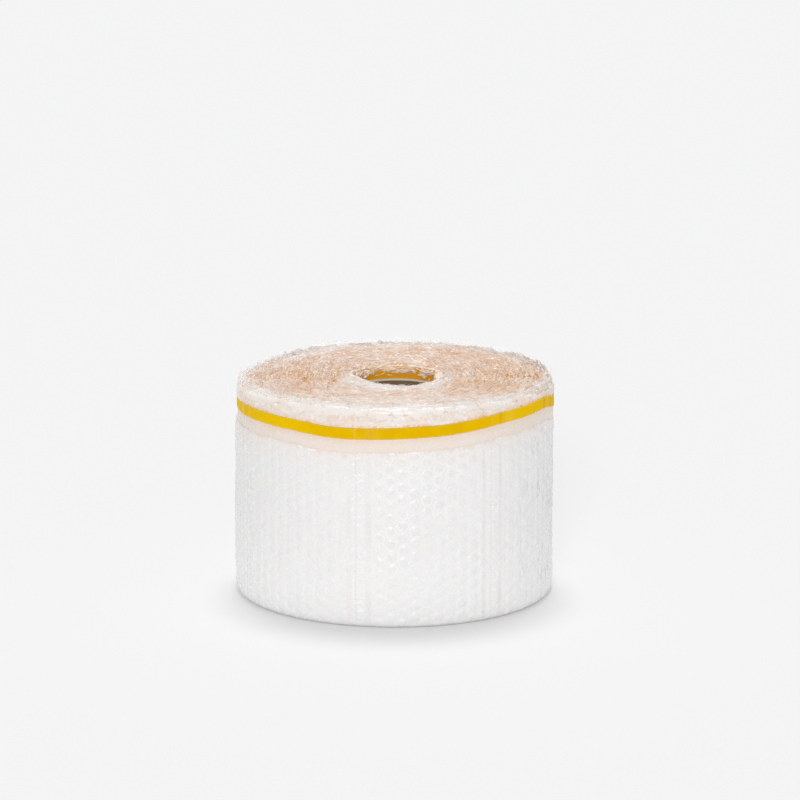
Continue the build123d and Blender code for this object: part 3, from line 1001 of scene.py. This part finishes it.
# Where a strip shows between the plies: azimuth, radius, how many times, and length and width of each
STRIP_GLIMPSES = (
    (-74.4, 85.4, 1, 4.2, 5.6), (63.9, 80.1, 5, 2.2, 3.6), (82.2, 108.6, 6, 2.0, 3.6),
    (81.9, 132.3, 4, 1.8, 4.0), (-96.0, 92.0, 4, 2.4, 2.6), (-60.0, 70.0, 5, 4.0, 2.0),
    (173.0, 96.0, 7, 3.0, 0.8), (84.0, 122.0, 6, 2.0, 3.0),
)


def strands(azimuth, radius, height, length, width, heading, pitch, tilt, bend):
    """Thin curved bands of film. Each has its middle at a given place. Its heading is the angle from the
    direction round the roll, its pitch the angle above the level, its tilt that of its width from upright."""
    a, head, lift, lean = (np.radians(angle)[:, None] for angle in (azimuth, heading, pitch, tilt))
    flat = np.zeros(a.shape)
    outward = np.concatenate([np.sin(a), -np.cos(a), flat], 1)
    onward = np.concatenate([np.cos(a), np.sin(a), flat], 1)
    up = np.array((0, 0, 1))
    level = onward * np.cos(head) + outward * np.sin(head)
    side = outward * np.cos(head) - onward * np.sin(head)
    along_it = level * np.cos(lift) + up * np.sin(lift)
    above_it = up * np.cos(lift) - level * np.sin(lift)
    across = above_it * np.cos(lean) + side * np.sin(lean)
    bow = side * np.cos(lean) - above_it * np.sin(lean)
    share = np.linspace(-0.5, 0.5, STRAND_POINTS)
    line = placed(azimuth, radius, height)[:, None]
    line = line + along_it[:, None] * (share[None, :, None] * length[:, None, None])
    arch = (0.25 - share**2)[None, :, None] * (bend * length)[:, None, None]
    line = line + (bow + 0.4 * across)[:, None] * arch
    taper = (0.15 + 0.85 * np.cos(share * pi) ** 0.6)[None, :, None] * width[:, None, None] / 2
    return np.stack([line - across[:, None] * taper, line + across[:, None] * taper], 2)


def spread(count, low, high):
    return RNG.uniform(low, high, count)


def angles(count, *pairs):
    """Random angles about the first of each pair. The second says how far they stray."""
    return [RNG.normal(middle, width, count) for middle, width in pairs]


def scatter(name, material, azimuth, radius, height, size, thickness, *turned):
    """A piece of strands at these places, of random length and width, turned at random."""
    count = len(azimuth)
    made = strands(azimuth, radius, height, spread(count, *size), spread(count, *thickness),
                   *angles(count, *turned))
    make_piece(name, made, material)


def end_strands():
    """Strands over the end face, with the brightest of them apart."""
    for name, material, count, size, thickness in (
        ("strands_pale", STRAND, 2800, (4, 10), (0.3, 0.6)),
        ("strands_peach", STRAND_PEACH, 900, (4, 9), (0.4, 0.8)),
        ("glints", GLINT, 520, (1.6, 3.6), (0.7, 1.3)),
    ):
        azimuth = spread(count, -180, 180)
        radius = np.sqrt(spread(count, INNERMOST**2, 141.0**2))
        height = STRAND_HEIGHT + spread(count, 0, 2.2)
        height = height - throat_dip(azimuth, radius) - shoulder(azimuth, radius)
        scatter(name, material, azimuth, radius, height, size, thickness,
                (0, 24), (0, 10), (52, 24), (0, 0.5))


def strip_glimpses():
    """Strips of the bags under the film, where they show between its edges. They face the front."""
    azimuth, radius, length, width = [], [], [], []
    for middle, reach, count, long, wide in STRIP_GLIMPSES:
        azimuth.append(middle + RNG.normal(0, 2.2, count) * (count > 1))
        radius.append(reach + RNG.normal(0, 5, count) * (count > 1))
        length.append(long * spread(count, 0.7, 1.1))
        width.append(wide * spread(count, 0.7, 1.1))
    azimuth, radius, length, width = (np.concatenate(part) for part in (azimuth, radius, length, width))
    count = len(azimuth)
    made = strands(azimuth, radius, STRAND_HEIGHT + 0.8 + spread(count, 0, 0.8), length, width, azimuth,
                   *angles(count, (0, 12), (0, 12), (0, 0.3)))
    make_piece("strip_glimpses", made, STRAND_ORANGE, "strip")


def rim_strands():
    """Strands round the rim, which blur its edge."""
    count = 2600
    azimuth = spread(count, -180, 180)
    back, left = 1 - facing(azimuth), hill(azimuth, -108, 34)
    rim = spiral(FLAP_START, (azimuth - TAIL_AZIMUTH) % 360)
    radius = rim - 3.4 + RNG.normal(0, 2.2, count) - 2.5 * (1 - back) - 3.6 * left
    height = STRAND_HEIGHT + 0.4 + 2.2 * back + RNG.normal(0, 1.2, count)
    height = height - np.maximum(shoulder(azimuth, radius), 0)
    scatter("strands_rim", STRAND_RIM, azimuth, radius, height, (3, 8), (0.35, 0.7),
            (0, 40), (0, 34), (52, 26), (0, 0.5))


def throat_strands():
    """Strands that hang in the throat, lower down towards the back."""
    top = STRAND_HEIGHT - 0.5
    for name, material, count, size in (
        ("strands_throat", GLINT, 90, (3, 8)), ("strands_throat_peach", STRAND_THROAT, 250, (4, 11)),
    ):
        azimuth = spread(count, -180, 180)
        radius = 37.5 - np.abs(RNG.normal(0, 1.1, count))
        height = top - np.abs(RNG.normal(0, 4.0, count)) * (1 - facing(azimuth)) - throat_dip(azimuth, radius)
        scatter(name, material, azimuth, radius, np.clip(height, 189, top), size, (0.4, 1.0),
                (0, 10), (0, 18), (50, 15), (0, 0.3))


bag_wall()
flap()
outer_strip()
throat_strip()
end_face()
film_edges()
throat_film()
first_turn()
throat_curls()
base()
end_strands()
strip_glimpses()
rim_strands()
throat_strands()

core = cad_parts["cardboard_core"]
core.data.materials.clear()
core.data.materials.append(BOARD)

# Floor, light and camera, in metres

BACKDROP = (0.912, 0.912, 0.912)
SKY_LIGHT = (0.55, 0.55, 0.555)
FLOOR_PAINT = (0.802, 0.802, 0.802)
FLOOR_GLOW = 0.25  # share of the backdrop's colour in the floor, where it is looked at
PHOTO_WIDTH = 800
FOCAL_LENGTH = 4330  # in the photo's pixels
CAMERA_FALL = 12.83  # degrees below the level


def studio_floor():
    """A pale floor that goes over into the backdrop."""
    mesh = bpy.data.meshes.new("studio_floor")
    mesh.from_pydata([(-9, -6, 0), (9, -6, 0), (9, 14, 0), (-9, 14, 0)], [], [(0, 1, 2, 3)])
    floor = added("studio_floor", mesh)
    paint = Shading("studio_floor")
    paint.set(Base_Color=FLOOR_PAINT, Roughness=1.0, Specular_IOR_Level=0.0)
    glow = paint.node("Emission", {"Color": BACKDROP})
    share = paint.times(paint.seen(), FLOOR_GLOW)
    both = paint.node("MixShader", {0: share, 1: paint.surface.outputs[0], 2: glow.outputs[0]})
    paint.feed(paint.output.inputs["Surface"], both.outputs[0])
    mesh.materials.append(paint.material)


def studio_sky():
    """Even light from all round, in front of a plain backdrop."""
    world = bpy.data.worlds.new("studio")
    bpy.context.scene.world = world
    world.use_nodes = True
    nodes = Nodes(world.node_tree)
    colour = nodes.coats(SKY_LIGHT, (nodes.seen(), BACKDROP))
    nodes.node("OutputWorld", {"Surface": nodes.node("Background", {"Color": colour}).outputs[0]})


def sun(name, azimuth, elevation, energy, angle):
    """A soft distant light that shines from this azimuth and elevation."""
    light = bpy.data.lights.new(name, "SUN")
    light.energy = energy
    light.angle = radians(angle)
    a, e = radians(azimuth), radians(elevation)
    source = Vector((np.sin(a) * np.cos(e), -np.cos(a) * np.cos(e), np.sin(e)))
    added(name, light).rotation_euler = source.to_track_quat("Z", "Y").to_euler()


def studio_camera():
    data = bpy.data.cameras.new("camera")
    data.sensor_width = 36
    data.lens = FOCAL_LENGTH / PHOTO_WIDTH * data.sensor_width
    camera = added("camera", data)
    camera.location = (0.0035, -3.840, 1.050)
    camera.rotation_euler = (radians(90 - CAMERA_FALL), 0, 0)
    bpy.context.scene.camera = camera


studio_floor()
studio_sky()
sun("key", 180, 77, 1.5, 20)
sun("fill", -4, 22, 0.95, 14)
studio_camera()
bpy.context.scene.view_settings.view_transform = "Standard"
